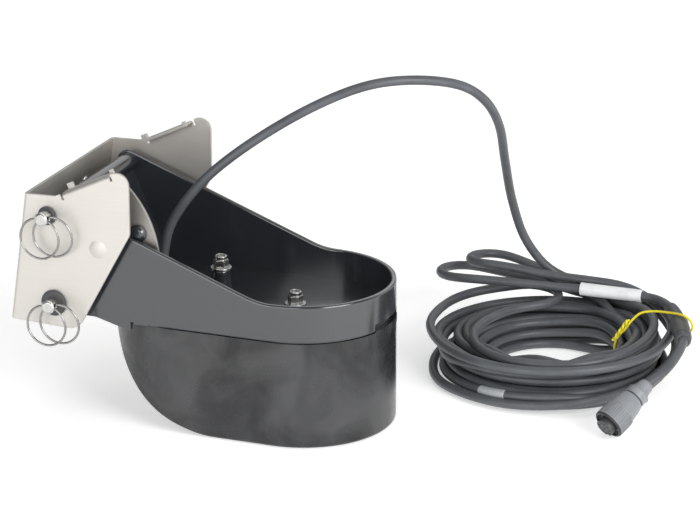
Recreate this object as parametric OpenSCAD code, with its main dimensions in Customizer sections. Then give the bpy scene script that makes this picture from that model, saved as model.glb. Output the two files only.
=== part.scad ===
// Transom-mount sonar transducer in a kick-up bracket, with its cable coil and plug.
// Millimetres. X points aft, Z up. The origin is on the sole, under the centre of the aft arc.

/* [Transducer body] */
// Width across the body and the tray
body_w = 133; // [120:1:145]
// Distance between the two arc centres in plan
arc_gap = 76; // [66:1:84]
// Height of the seam above the sole
seam_h = 79; // [70:1:90]
// Radius of the bow in side view
bow_r = 105; // [98:1:115]
// Distance from the aft arc centre to where the bow leaves the sole
bow_start = 35; // [28:1:42]
// Radius round the edge of the sole
sole_r = 3; // [1.5:0.5:5]
// Wall of the body shell
shell_t = 4.5; // [3.5:0.5:6]
// Thickness of the sole window under the elements
window_t = 6; // [4:0.5:8]

/* [Elements] */
// Play between the wall of the body and the element holder
holder_in = 7; // [6:0.5:9]
// Rim of the holder outside the elements
holder_rim = 4; // [3:0.5:5]
// Set-back of the holder from the aft arc centre
holder_x = 4; // [2:0.5:5]
// Height of one ceramic element
element_h = 20; // [14:1:24]
// Gap between neighbouring elements
element_gap = 3; // [2:0.5:4]

/* [Tray] */
// Height of the flat rim above the seam
rim_h = 28; // [24:1:32]
// Wall of the tray
wall_t = 4; // [3:0.5:5]
// Thickness of the tray floor
floor_t = 5.5; // [4:0.5:7]
// Slope of the rim up to the hinge
rim_slope = 20.8; // [19:0.2:22]
// Radius of the arm ends round the hinge pin
arm_r = 9.4; // [8.6:0.1:9.6]
// Depth of the groove that marks the seam
groove_d = 1; // [0.5:0.1:1.5]
// Start of the groove, forward of the forward arc centre
groove_fwd = 17.5; // [10:0.5:25]
// Width of the key at the aft end of the seam
key_w = 42; // [30:1:46]
// Height of the key above the seam
key_h = 1.4; // [1:0.1:3]
// Stand of the key out of the wall
key_out = 0.4; // [0.2:0.1:1.2]
// Depth of the notch over the key
notch_d = 3.2; // [2.4:0.1:3.4]
// Height of the notch above the key
notch_h = 4.4; // [3:0.1:7]

/* [Arms] */
// Radius of the arm ends round the lock pin
lock_r = 10.3; // [9.5:0.1:11]
// Forward end of the belly under the arms, forward of the front arc centre
belly_fwd = 59; // [55:0.5:62]
// Lowest point of the belly, forward of the front arc centre
belly_aft = 35; // [33.5:0.5:40]
// Depth of the belly below the seam
belly_drop = 4.7; // [3:0.1:6]
// Forward edge of the slot at the end of the belly
slot_fwd = 31.6; // [31.2:0.1:33]
// Width of the slot at the end of the belly
slot_w = 2.5; // [1.5:0.1:3]
// Radius where the slope meets the flat rim
slope_r = 55; // [40:1:70]
// Wall of the hinge barrel round the pin
barrel_t = 3; // [2.4:0.1:4]
// Thickness of the front wall
front_t = 4.4; // [3.6:0.1:6]

/* [Arm plate] */
// Radius of the aft edge of the steel plate
plate_r = 77.7; // [74:0.1:79]
// Forward edge of the plate, aft of the hinge axis
plate_from = 38; // [34:0.5:42]
// Lower edge of the plate, above the lock pin
plate_low = 8; // [6:0.5:12]
// Top of the plate, above the hinge axis
plate_top = 24.5; // [20:0.5:26]
// Forward end of the plate's top, aft of the hinge axis
plate_nose = 54.5; // [50:0.5:58]
// Button on the plate, aft of the hinge axis
button_aft = 63.4; // [60:0.1:66]
// Button on the plate, above the sloped rim
button_up = 3.2; // [2:0.1:5]
// Radius of the button
button_r = 5.6; // [4:0.1:6]
// Stand of the plate off the arm, on the collars of its rivets
plate_gap = 3.6; // [3.4:0.1:5]
// Forward rivet, aft of the hinge axis
rivet_a = 46; // [44:0.5:50]
// Aft rivet, aft of the hinge axis
rivet_b = 66; // [62:0.5:68]
// Forward rivet, above the lock pin
rivet_up = 33; // [28:0.5:36]
// Fall of the aft rivet below the forward one
rivet_fall = 9; // [6:0.5:12]

/* [Hinge] */
// Hinge axis, forward of the aft arc centre
hinge_fwd = 166.5; // [160:0.5:172]
// Hinge axis, above the seam
hinge_up = 77.6; // [74:0.2:82]
// Lock pin, aft of the hinge axis
lock_aft = 3.2; // [0:0.2:6]
// Lock pin, below the hinge axis
lock_drop = 65.3; // [62:0.1:68]
// Diameter of both release pins
pin_d = 8; // [6:0.5:9]
// Radial clearance of the running fits
run_clear = 0.05; // [0.02:0.01:0.1]
// Play between pieces that only sit together
seat_clear = 0.3; // [0.2:0.05:0.4]

/* [Bracket] */
// Gap between an arm and the flange beside it
arm_gap = 6.2; // [4.6:0.1:9]
// Thickness of the bracket sheet
sheet_t = 2; // [1.5:0.5:2.5]
// Lean of the transom plate from upright
plate_lean = 8.3; // [4:0.1:12]
// Outside radius of the bends
bend_r = 3.2; // [2.8:0.1:4]
// Top of the transom plate, forward of the hinge axis
plate_fwd = 18.4; // [17:0.1:22]
// Top of the transom plate, above the hinge axis
plate_up = 14.2; // [13:0.1:16]
// Start of the sloped top edges, aft of the hinge axis
slope_aft = 6.1; // [4:0.1:8]
// Start of the sloped top edges, above the hinge axis
slope_up = 15; // [14.6:0.1:16.5]
// Lower edge of the flanges, below the lock pin
low_drop = 18.5; // [17:0.1:22]
// Rise of the lower edge towards the transom plate
low_rise = 2.3; // [1:0.1:4]
// Aft end of the lower edge, aft of the hinge axis
low_aft = 21.3; // [19:0.1:24]
// Aft edge of the flanges, aft of the hinge axis
flange_aft = 63.6; // [60:0.1:66]
// Foot of the aft edge, below the hinge axis
aft_drop = 7.9; // [5:0.1:10]
// Start of a stop tab along the sloped edge
tab_a = 6; // [5:0.5:8]
// End of a stop tab along the sloped edge
tab_b = 46; // [42:0.5:48]
// Slope of the top edges that carry the stop tabs
tab_slope = 25.4; // [24:0.2:27]
// Reach of the stop tabs over the arms
tab_in = 12; // [10.5:0.5:12.5]
// Side of the square of transom screw holes
screw_square = 56; // [48:1:60]
// Diameter of a transom screw hole
screw_d = 6.5; // [5:0.1:7.5]

/* [Release pins] */
// Diameter of the pin heads
head_d = 9.4; // [9:0.1:11]
// Diameter of the pull rings, middle of the wire
ring_d = 30; // [26:1:34]
// Thickness of the pull ring wire
ring_wire = 1.9; // [1.4:0.1:2.2]
// Diameter of the hinge bush discs
hinge_disc_d = 13; // [12:0.5:15]
// Diameter of the lock bush discs
lock_disc_d = 18.5; // [17:0.5:20]

/* [Studs] */
// Thread diameter of the two clamping studs
stud_d = 6; // [5:0.5:7]
// Width across the flats of the nuts
nut_af = 10; // [9:0.5:12]
// Height of the nuts
nut_h = 8.8; // [7:0.1:10]
// Distance between the two studs
stud_gap = 58; // [52:1:62]
// Height of the boss under the front stud
boss_h = 20.3; // [15:0.1:22]
// Depth of the stud ends below the tops of the nuts
stud_sink = 2; // [0.5:0.1:3]

/* [Cable and plug] */
// Diameter of the cable
cable_d = 7; // [6:0.1:7.5]
// Outside radius of the coil
coil_ro = 92.5; // [90:0.5:95]
// Inside radius of the coil
coil_ri = 42; // [38:1:46]
// Height of the coil
coil_h = 38; // [34:1:38]
// Diameter of the coupling ring of the plug
plug_d = 23.5; // [23:0.5:25.5]
// Length of the insert that stands out of the coupling ring
insert_out = 3.6; // [1:0.1:5]
// Number of contacts round the plug
contact_n = 9; // [6:1:10]

/* [Hidden] */
$fn = 64;

e = 0.01;
R = body_w / 2;
rim_z = seam_h + rim_h;
floor_z = seam_h + floor_t;
hx = -hinge_fwd;
hz = seam_h + hinge_up;
lx = hx + lock_aft;
lz = hz - lock_drop;
Yi = R + arm_gap;
Yf = Yi + sheet_t;
pin_r = pin_d / 2;

// Aft end of the rim slope, where it meets the flat rim
slope_x = hx + arm_r / sin(rim_slope) + (hz - rim_z) / tan(rim_slope);
function rim_at(x) = hz + (arm_r - (x - hx) * sin(rim_slope)) / cos(rim_slope);

// Foot of the front wall on the seam, at the front of the body
foot_x = -bow_start - sqrt(bow_r * bow_r - pow(bow_r - seam_h, 2));

// A polygon with its corners rounded: each point is [x, y, radius]
function unit(v) = v / norm(v);
function corner(p, a, b, steps) =
  let (u = unit([a[0] - p[0], a[1] - p[1]]), v = unit([b[0] - p[0], b[1] - p[1]]),
       half = acos(max(-1, min(1, u * v))) / 2, t = p[2] / tan(half),
       m = unit(u + v), c = [p[0], p[1]] + m * p[2] / sin(half),
       s = [p[0], p[1]] + u * t - c, f = [p[0], p[1]] + v * t - c,
       a0 = atan2(s[1], s[0]), d = atan2(f[1], f[0]) - a0, dd = d > 180 ? d - 360 : d < -180 ? d + 360 : d)
  [for (i = [0:steps]) c + p[2] * [cos(a0 + dd * i / steps), sin(a0 + dd * i / steps)]];
function rounded(pts, steps = 8) =
  let (n = len(pts))
  [for (i = [0:n - 1]) each (pts[i][2] == 0 ? [[pts[i][0], pts[i][1]]]
     : corner(pts[i], pts[(i + n - 1) % n], pts[(i + 1) % n], steps))];

// Side view drawn in X and Z, pushed out across the beam between two Y values
module side(y0, y1) {
  translate([0, y1, 0]) rotate([90, 0, 0]) linear_extrude(y1 - y0) children();
}
// A cylinder across the beam
module across(x, z, r, y0, y1) {
  translate([x, y1, z]) rotate([90, 0, 0]) cylinder(r = r, h = y1 - y0);
}
// A local frame whose Z axis points along d
module aim(p, d) {
  translate(p) rotate([0, acos(d[2] / norm(d)), atan2(d[1], d[0])]) children();
}

// Route of a cord: smooth points through hand-set ones, then a tube of rings along them
function spline(p, k) =
  let (n = len(p))
  [for (i = [0:n - 2]) for (j = [0:k - 1])
     let (t = j / k, a = p[max(i - 1, 0)], b = p[i], c = p[i + 1], d = p[min(i + 2, n - 1)])
     0.5 * (2 * b + (c - a) * t + (2 * a - 5 * b + 4 * c - d) * t * t + (3 * b - a - 3 * c + d) * t * t * t),
   p[n - 1]];
function heads(q) = let (n = len(q)) [for (i = [0:n - 1]) unit(q[min(i + 1, n - 1)] - q[max(i - 1, 0)])];
function carry(h, i, v) = i == 0 ? unit(v - h[0] * (v * h[0]))
  : let (w = carry(h, i - 1, v)) unit(w - h[i] * (w * h[i]));
module tube(p, r, k = 3, sides = 10) {
  q = spline(p, k);
  h = heads(q);
  n = len(q);
  pts = [for (i = [0:n - 1]) let (u = carry(h, i, [0.3, 1, 0.1]), w = cross(h[i], u))
         for (s = [0:sides - 1]) q[i] + r * (u * cos(360 * s / sides) + w * sin(360 * s / sides))];
  faces = concat([[for (s = [0:sides - 1]) s]],
    [for (i = [0:n - 2]) for (s = [0:sides - 1]) let (a = i * sides + s, b = i * sides + (s + 1) % sides)
       each [[a, a + sides, b], [b, a + sides, b + sides]]],
    [[for (s = [sides - 1:-1:0]) (n - 1) * sides + s]]);
  polyhedron(pts, faces, convexity = 8);
}

// Body
// Stadium plan with a round sole edge, trimmed by the bow cylinder
module hull_form(inset, z0, z1, edge) {
  r = R - inset;
  difference() {
    union() {
      for (x = [0, -arc_gap]) translate([x, 0, z0]) {
        translate([0, 0, edge]) cylinder(r = r, h = z1 - z0 - edge);
        cylinder(r = r - edge, h = z1 - z0 - e);
        rotate_extrude() translate([r - edge, edge]) circle(edge);
      }
      translate([-arc_gap, -r, z0 + edge]) cube([arc_gap, 2 * r, z1 - z0 - edge]);
      translate([-arc_gap, -r + edge, z0]) cube([arc_gap, 2 * r - 2 * edge, z1 - z0 - e]);
      for (s = [-1, 1]) translate([-arc_gap, s * (r - edge), z0 + edge]) rotate([0, 90, 0]) cylinder(r = edge, h = arc_gap);
    }
    difference() {
      translate([-arc_gap - R - 20, -R - 5, -5]) cube([arc_gap + R + 20 - bow_start, body_w + 10, z1 + 10]);
      across(-bow_start, bow_r, bow_r - inset, -R - 10, R + 10);
    }
  }
}

// Where things sit inside the body
holder_r = R - shell_t - holder_in;
element_d = (holder_r - holder_rim - element_gap) / 1.5;
pitch = element_d + element_gap;
holder_z = window_t + seat_clear;
holder_h = element_h + 4;
stud_r = stud_d / 2;
stud_xs = [-7, -7 - stud_gap];
stud_foot = 46;
seat_zs = [floor_z, floor_z + boss_h];
washer_h = 1.6;
stud_tops = [for (z = seat_zs) z + washer_h + nut_h - stud_sink];
anchor_h = 5;
probe_x = -bow_start - 27;
gland_x = foot_x + 26;
cable_r = cable_d / 2;

module body_shell() color([0.13, 0.13, 0.14]) {
  difference() {
    hull_form(0, 0, seam_h, sole_r);
    hull_form(shell_t, window_t, seam_h + 1, 1);
  }
  // Key that stands up into the notch of the tray
  aft_band(R - notch_d + seat_clear, R + key_out, key_w, seam_h - 4, seam_h + key_h);
}
module aft_band(r0, r1, w, z0, z1) intersection() {
  difference() {
    translate([0, 0, z0]) cylinder(r = r1, h = z1 - z0);
    translate([0, 0, z0 - 1]) cylinder(r = r0, h = z1 - z0 + 2);
  }
  translate([0, -w / 2, z0 - 2]) cube([R + 10, w, z1 - z0 + 4]);
}

module element_spots() {
  for (i = [0:6]) translate(i == 0 ? [0, 0, 0] : [pitch * cos(60 * i), pitch * sin(60 * i), 0]) children();
}
module element_holder() color([0.55, 0.42, 0.28]) difference() {
  translate([holder_x, 0, holder_z]) cylinder(r = holder_r, h = holder_h);
  translate([holder_x, 0, holder_z - 1]) element_spots() cylinder(r = element_d / 2 + seat_clear, h = element_h + 1 + seat_clear);
  translate([holder_x, 0, holder_z]) element_spots() cylinder(r = 2, h = holder_h + 1);
}
module ceramic_elements() color([0.85, 0.83, 0.76]) translate([holder_x, 0, holder_z]) element_spots() cylinder(r = element_d / 2, h = element_h);
module potting() color([0.2, 0.18, 0.16]) difference() {
  hull_form(shell_t + seat_clear, holder_z, seam_h - seat_clear, 1);
  translate([holder_x, 0, holder_z - 2]) cylinder(r = holder_r + seat_clear, h = holder_h + 2 + seat_clear);
  for (x = stud_xs) translate([x, 0, 0]) {
    translate([0, 0, stud_foot - seat_clear]) cylinder(r = nut_af / sqrt(3) + seat_clear, h = anchor_h + 2 * seat_clear);
    translate([0, 0, stud_foot]) cylinder(r = stud_r + seat_clear, h = seam_h);
  }
  translate([probe_x, 0, 14 - seat_clear]) cylinder(r = 3 + seat_clear, h = 18 + 2 * seat_clear);
}
module temperature_probe() color([0.75, 0.75, 0.75]) translate([probe_x, 0, 14]) {
  cylinder(r = 3, h = 14);
  translate([0, 0, 14 - e]) cylinder(r1 = 3, r2 = 1.6, h = 4);
}

// Tray
module plan(r, z0, z1, x0) {
  translate([0, 0, z0]) cylinder(r = r, h = z1 - z0);
  translate([x0, -r, z0]) cube([-x0, 2 * r, z1 - z0]);
}
slot_x = -arc_gap - slot_fwd + slot_w;
module arm_outline() {
  polygon(rounded([
    [R + 5, seam_h, 0], [R + 5, rim_z, 0], [slope_x, rim_z, slope_r],
    [hx + arm_r * sin(rim_slope), hz + arm_r * cos(rim_slope), 0], [hx, hz, 0],
    [hx - arm_r, hz, 0], [lx - lock_r, lz, 0], [lx, lz, 0], [lx, lz - lock_r, 0],
    [-arc_gap - belly_fwd, lz - lock_r, 8], [-arc_gap - belly_aft, seam_h - belly_drop, 5], [-arc_gap - slot_fwd, seam_h - belly_drop, 0],
    [-arc_gap - slot_fwd, seam_h + 1.4, 0], [slot_x, seam_h + 1.4, 0], [slot_x, seam_h, 0]]));
  translate([hx, hz]) circle(arm_r);
  translate([lx, lz]) circle(lock_r);
}
// Front wall from the hinge barrel down to the foot
wall_u = unit([foot_x + 3 - hx, seam_h - hz]);
wall_n = [-wall_u[1], wall_u[0]] * front_t / 2;
module front_wall() {
  polygon([[hx, hz] - wall_n, [foot_x + 3, seam_h] - wall_n + wall_u * 3, [foot_x + 3, seam_h] + wall_n + wall_u * 3, [hx, hz] + wall_n]);
}
module tray() color([0.1, 0.1, 0.11]) {
  yi = R - wall_t;
  difference() {
    union() {
      difference() {
        intersection() {
          side(-R - 1, R + 1) arm_outline();
          plan(R, seam_h - 20, hz + 40, hx - 40);
        }
        plan(yi, seam_h - 30, hz + 50, hx - 50);
      }
      intersection() {
        plan(yi + e, seam_h, floor_z, foot_x);
        translate([foot_x, -R, seam_h - 1]) cube([2 * R + 300, 2 * R, 40]);
      }
      difference() {
        side(-yi - e, yi + e) front_wall();
        translate([hx - 50, -R, seam_h - 50]) cube([300, 2 * R, 50]);
      }
      across(hx, hz, pin_r + barrel_t, -yi - e, yi + e);
      translate([stud_xs[1], 0, seam_h + 1]) cylinder(d1 = nut_af + 7, d2 = nut_af + 2.5, h = floor_t + boss_h - 1);
    }
    across(hx, hz, pin_r + run_clear, -R - 1, R + 1);
    across(lx, lz, pin_r + seat_clear, -R - 1, R + 1);
    side(-R - 1, R + 1) polygon([[lx, lz - pin_r - seat_clear], [lx - lock_r - 3, lz - pin_r - seat_clear],
      [lx - lock_r - 3, lz + pin_r + 2.2], [lx, lz + pin_r + seat_clear]]);
    // Groove along the seam, notch over the key, stud holes, cable hole
    difference() {
      plan(R + 2, seam_h - e, seam_h + 1.2, -arc_gap - groove_fwd);
      plan(R - groove_d, seam_h - 1, seam_h + 2, -arc_gap - 40);
    }
    aft_band(R - notch_d, R + 5, key_w + 2, seam_h - 1, seam_h + key_h + notch_h);
    for (x = stud_xs) translate([x, 0, seam_h - 1]) cylinder(r = stud_r + seat_clear, h = 60);
    translate([gland_x, 0, seam_h - 1]) cylinder(r = cable_r + seat_clear, h = 20);
    // Blind holes for the rivets of the arm plate
    for (p = rivets) across(p[0], p[1], 1.5 + seat_clear, -yi - 2.6, -yi + 1);
  }
}

// Steel plate inside the near arm, its button and rivets
plate_c = [(hx + lx) / 2, (hz + lz) / 2];
button = [hx + button_aft, rim_at(hx + button_aft) + button_up];
button_h = plate_gap - seat_clear;
rivets = [[hx + rivet_a, lz + rivet_up], [hx + rivet_b, lz + rivet_up - rivet_fall]];
plate_y = -R + wall_t + plate_gap;
module arm_plate() color([0.62, 0.6, 0.57]) difference() {
  intersection() {
    across(plate_c[0], plate_c[1], plate_r, plate_y, plate_y + sheet_t);
    side(plate_y - 1, plate_y + 10) polygon([[hx + plate_from, lz + plate_low], [hx + 1.2 * plate_r, lz + plate_low], [hx + 1.2 * plate_r, hz + plate_top], [hx + plate_nose, hz + plate_top], [hx + plate_from, hz + plate_top - plate_nose + plate_from]]);
  }
  across(button[0], button[1], 1.5 + seat_clear, plate_y - 1, plate_y + 10);
  for (p = rivets) across(p[0], p[1], 1.5 + seat_clear, plate_y - 1, plate_y + 10);
}
module plate_button() color([0.06, 0.06, 0.06]) {
  across(button[0], button[1], 1.5, plate_y - e, plate_y + sheet_t + e);
  across(button[0], button[1], 3, plate_y + sheet_t, plate_y + sheet_t + 1);
  translate([button[0], plate_y, button[1]]) rotate([90, 0, 0]) {
    cylinder(r = button_r, h = button_h / 3);
    translate([0, 0, button_h / 3 - e]) cylinder(r1 = button_r, r2 = button_r * 0.62, h = button_h * 2 / 3);
  }
}
module plate_rivets() color([0.7, 0.7, 0.7]) for (p = rivets) {
  across(p[0], p[1], 1.5, plate_y - plate_gap - 2.3, plate_y + sheet_t + e);
  across(p[0], p[1], 3, plate_y - plate_gap, plate_y);
  translate([p[0], plate_y + sheet_t, p[1]]) rotate([-90, 0, 0]) cylinder(r1 = 3, r2 = 2, h = 1.2);
}

// Studs, washers, nuts and the cable gland
module hexagon(af, h) cylinder(r = af / sqrt(3), h = h, $fn = 6);
module studs() color([0.78, 0.78, 0.78]) for (i = [0, 1]) translate([stud_xs[i], 0, 0]) {
  translate([0, 0, stud_foot]) hexagon(nut_af, anchor_h);
  translate([0, 0, stud_foot]) cylinder(r = stud_r, h = stud_tops[i] - stud_foot - 0.8);
  translate([0, 0, stud_tops[i] - 0.8 - e]) cylinder(r1 = stud_r, r2 = stud_r - 0.9, h = 0.8);
}
module stud_washers() color([0.75, 0.75, 0.75]) for (i = [0, 1]) translate([stud_xs[i], 0, seat_zs[i]]) difference() {
  cylinder(d = nut_af + 5.6, h = washer_h);
  translate([0, 0, -1]) cylinder(r = stud_r + seat_clear, h = washer_h + 2);
}
module stud_nuts() color([0.8, 0.8, 0.8]) for (i = [0, 1]) translate([stud_xs[i], 0, seat_zs[i] + washer_h]) difference() {
  union() {
    intersection() {
      rotate(15) hexagon(nut_af, nut_h * 0.66);
      cylinder(r1 = nut_af * 0.48 + 1.73 * nut_h * 0.66, r2 = nut_af * 0.48, h = nut_h * 0.66);
    }
    cylinder(r = nut_af * 0.44, h = nut_h - 0.5);
    translate([0, 0, nut_h - 0.5 - e]) cylinder(r1 = nut_af * 0.44, r2 = nut_af * 0.44 - 0.5, h = 0.5);
  }
  translate([0, 0, -1]) cylinder(r = stud_r + run_clear, h = nut_h + 2);
}
module cable_gland() color([0.08, 0.08, 0.08]) translate([gland_x, 0, floor_z]) rotate_extrude() polygon([
  [cable_r + seat_clear, 0], [cable_r + 6, 0], [cable_r + 6, 3], [cable_r + 3.6, 4], [cable_r + 3.2, 9], [cable_r + 2.6, 9.6],
  [cable_r + 2.6, 11], [cable_r + 3.0, 11.6], [cable_r + 1.8, 19], [cable_r + seat_clear, 19]]);

// Bracket
// Folded sheet: a bent channel cut to the side outline, with stop tabs turned in
top_l = [hx - plate_fwd, hz + plate_up];
top_m = [hx + slope_aft, hz + slope_up];
low_z = lz - low_drop;
bot_l = [top_l[0] - tan(plate_lean) * (top_l[1] - low_z), low_z + low_rise];
aft_x = hx + flange_aft;
function along(s, n) = top_m + s * [cos(tab_slope), sin(tab_slope)] + n * [-sin(tab_slope), cos(tab_slope)];
top_r = [aft_x, top_m[1] + tan(tab_slope) * (aft_x - top_m[0])];
module flange_outline() polygon(rounded([
  [top_l[0] - 6, top_l[1], 0], [top_m[0], top_m[1], 0],
  concat(along(tab_a - 2, 0), 0), concat(along(tab_a - 2, -bend_r - 1.6), 0), concat(along(tab_a, -bend_r - 1.6), 0), concat(along(tab_a, -bend_r), 0),
  concat(along(tab_b, -bend_r), 0), concat(along(tab_b, -bend_r - 1.6), 0), concat(along(tab_b + 2, -bend_r - 1.6), 0), concat(along(tab_b + 2, 0), 0),
  [top_r[0], top_r[1], 9], [aft_x, hz - aft_drop, 6], [hx + low_aft, low_z, 12], [bot_l[0] - 6, bot_l[1] + 0.3, 0]]));
module channel() {
  difference() {
    union() {
      translate([bend_r, -Yf]) square([2 * flange_aft, 2 * Yf]);
      translate([0, -Yf + bend_r]) square([bend_r + e, 2 * Yf - 2 * bend_r]);
      for (s = [-1, 1]) translate([bend_r, s * (Yf - bend_r)]) circle(bend_r);
    }
    translate([bend_r, -Yi]) square([2.2 * flange_aft, 2 * Yi]);
    translate([sheet_t, -Yf + bend_r]) square([bend_r, 2 * Yf - 2 * bend_r]);
    for (s = [-1, 1]) translate([bend_r, s * (Yf - bend_r)]) circle(bend_r - sheet_t);
  }
}
module stop_tab() translate([top_m[0], 0, top_m[1]]) rotate([0, -tab_slope, 0]) {
  len = tab_b - tab_a;
  translate([tab_a, -Yf + bend_r - e, -sheet_t]) cube([len, tab_in - bend_r + e, sheet_t]);
  intersection() {
    translate([tab_a, -Yf + bend_r, -bend_r]) rotate([0, 90, 0]) difference() {
      cylinder(r = bend_r, h = len);
      translate([0, 0, -1]) cylinder(r = bend_r - sheet_t, h = len + 2);
    }
    translate([tab_a, -Yf - 1, -bend_r - e]) cube([len, bend_r + 1, bend_r + 1]);
  }
  translate([tab_a + 1, -Yf + tab_in - sheet_t, -sheet_t]) cube([5, sheet_t, sheet_t + 4]);
  translate([tab_b - 3, -Yf + tab_in - sheet_t, -sheet_t]) cube([3, sheet_t, sheet_t + 2]);
}
hinge_bush_r = hinge_disc_d / 2 - 1.2;
dimple_r = 18;
dimple_out = 1.3;
lock_bush_r = lock_disc_d / 2 - 2.2;
plate_mid = -(top_l[1] - bot_l[1]) / cos(plate_lean) / 2;
module transom_bracket() color([0.8, 0.79, 0.76]) difference() {
  union() {
    intersection() {
      translate([top_l[0], 0, top_l[1]]) rotate([0, plate_lean, 0]) translate([0, 0, -2 * lock_drop]) linear_extrude(3.4 * lock_drop) channel();
      side(-Yf - 1, Yf + 1) flange_outline();
    }
    stop_tab();
    mirror([0, 1, 0]) stop_tab();
    // Pressed dimple in each flange
    for (s = [0, 1]) mirror([0, s, 0]) intersection() {
      translate([hx + 38.8, -Yf + dimple_r - dimple_out, hz - 21]) sphere(r = dimple_r);
      translate([hx + 28, -Yf - 3, hz - 31]) cube([20, 3 + sheet_t / 2, 20]);
    }
  }
  across(hx, hz, hinge_bush_r + run_clear, -Yf - 5, Yf + 5);
  across(lx, lz, lock_bush_r + run_clear, -Yf - 5, Yf + 5);
  translate([top_l[0], 0, top_l[1]]) rotate([0, plate_lean, 0]) for (a = [-1, 1], b = [-1, 1])
    translate([-3, a * screw_square / 2, plate_mid + b * screw_square / 2]) rotate([0, 90, 0]) cylinder(d = screw_d, h = sheet_t + 6);
}

// Black bushes in the flange holes, reaching to the arms
disc_t = 2.2;
module bush(x, z, disc_r, r) for (s = [0, 1]) mirror([0, s, 0]) difference() {
  union() {
    translate([x, -Yf - disc_t, z]) rotate([-90, 0, 0]) cylinder(r1 = disc_r - 0.7, r2 = disc_r, h = 0.7);
    across(x, z, disc_r, -Yf - disc_t + 0.7 - e, -Yf);
    across(x, z, r, -Yf - e, -R - seat_clear);
  }
  across(x, z, pin_r + run_clear, -Yf - 5, -R + 5);
}
module hinge_bushes() color([0.09, 0.09, 0.09]) bush(hx, hz, hinge_disc_d / 2, hinge_bush_r);
module lock_bushes() color([0.09, 0.09, 0.09]) bush(lx, lz, lock_disc_d / 2, lock_bush_r);

// Release pins with a cross hole for the pull ring
head_l = 9.5;
ring_y = -Yf - disc_t - seat_clear - head_l + 3.4;
hole_r = ring_wire / 2 + ring_d / 2 - sqrt(pow(ring_d / 2, 2) - pow(head_d / 2, 2)) + seat_clear;
module release_pin(x, z) color([0.72, 0.72, 0.72]) difference() {
  y0 = -Yf - disc_t - seat_clear;
  union() {
    across(x, z, pin_r, y0 - e, Yf + disc_t + 7);
    translate([x, Yf + disc_t + 7 - e, z]) rotate([-90, 0, 0]) cylinder(r1 = pin_r, r2 = pin_r - 1.4, h = 1.6);
    across(x, z, head_d / 2, y0 - head_l + 1, y0);
    translate([x, y0 - head_l, z]) rotate([-90, 0, 0]) cylinder(r1 = head_d / 2 - 1, r2 = head_d / 2, h = 1 + e);
  }
  translate([x - 20, ring_y, z]) rotate([0, 90, 0]) cylinder(r = hole_r, h = 40);
}
module pull_ring(x, z) color([0.75, 0.75, 0.75]) translate([x, ring_y, z - ring_d / 2]) rotate([90, 0, 0]) rotate_extrude() translate([ring_d / 2, 0]) circle(ring_wire / 2, $fn = 24);
module hinge_pin() release_pin(hx, hz);
module lock_pin() release_pin(lx, lz);
module hinge_ring() pull_ring(hx, hz);
module lock_ring() pull_ring(lx, lz);

// Cable, coil and the pieces on them
coil_c = [142, 148];
coil_z = 1.6;
coil_top = coil_z + coil_h;
lay = coil_top + cable_r + 1.8;
rest = coil_top + cable_r + seat_clear;
cable_route = [[gland_x, 0, floor_z + 0.5], [gland_x, 0, floor_z + 12], [gland_x + 0.5, 0.5, floor_z + 27], [gland_x + 6, 4, 135],
  [-84, 10, 165], [-54, 22, 192], [-16, 44, 217], [20, 64, 233], [50, 84, 236], [77, 112, 228],
  [90, 136, 211], [94.5, 158, 186], [92.5, 180, 152], [92, 200, 116], [98, 214, 82], [112, 223, 58], [130, 230, rest + 2.4], [150, 233, rest], [172, 230, rest]];
label_a = [145, 212.8, lay];
label_b = [194, 212.8, lay];
plug_at = [220, 32, plug_d / 2 * 0.88 + 0.5];
plug_dir = [-0.426, -0.766, -0.479];
tail_p = plug_at - 34 * plug_dir;
tail_route = [tail_p, tail_p - 6 * plug_dir, tail_p - 12 * plug_dir, [245, 75.5, 36], [250, 87.5, 41.2], [252.3, 100, 45.8],
  [251.8, 112, 47.6], [249.9, 123, lay + 2], [245, 140, lay + 0.5], [239, 156, lay],
  [231, 176, lay], [220, 196, lay], [209, 208, lay], [196, 212.6, lay], [180, 212.8, lay], [163, 212.8, lay], [146, 212.8, lay], [130, 211, lay]];
joint_a = [249.5, 125, lay + 1.6];
joint_b = [239.8, 154, lay];

module cable() color([0.12, 0.12, 0.13]) tube(cable_route, cable_r, 3, 10);
module cable_tail() color([0.12, 0.12, 0.13]) tube(tail_route, cable_r, 3, 10);
module cable_coil() color([0.12, 0.12, 0.13]) translate([coil_c[0], coil_c[1], coil_z]) rotate_extrude($fn = 96) {
  q = 9;
  translate([coil_ri + q, 0]) square([coil_ro - coil_ri - 2 * q, coil_h]);
  translate([coil_ri, q]) square([coil_ro - coil_ri, coil_h - 2 * q]);
  for (x = [coil_ri + q, coil_ro - q], z = [q, coil_h - q]) translate([x, z]) circle(q);
}
module sleeve(a, b, r, bore) aim(a, b - a) difference() {
  cylinder(r = r, h = norm(b - a));
  translate([0, 0, -1]) cylinder(r = bore, h = norm(b - a) + 2);
}
module label_sleeve() color([0.92, 0.92, 0.9]) sleeve(label_a, label_b, cable_r + 1.5, cable_r + 0.7);
module joint_sleeve() color([0.07, 0.07, 0.07]) sleeve(joint_a, joint_b, cable_r + 3.6, cable_r + 1);
module tape_marker() color([0.72, 0.73, 0.75]) translate([coil_c[0], coil_c[1], coil_z + 12]) rotate([0, 0, -112]) rotate_extrude(angle = 15) translate([coil_ro + 0.3, 0]) square([0.9, 8]);
tie_w = 3;
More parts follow.
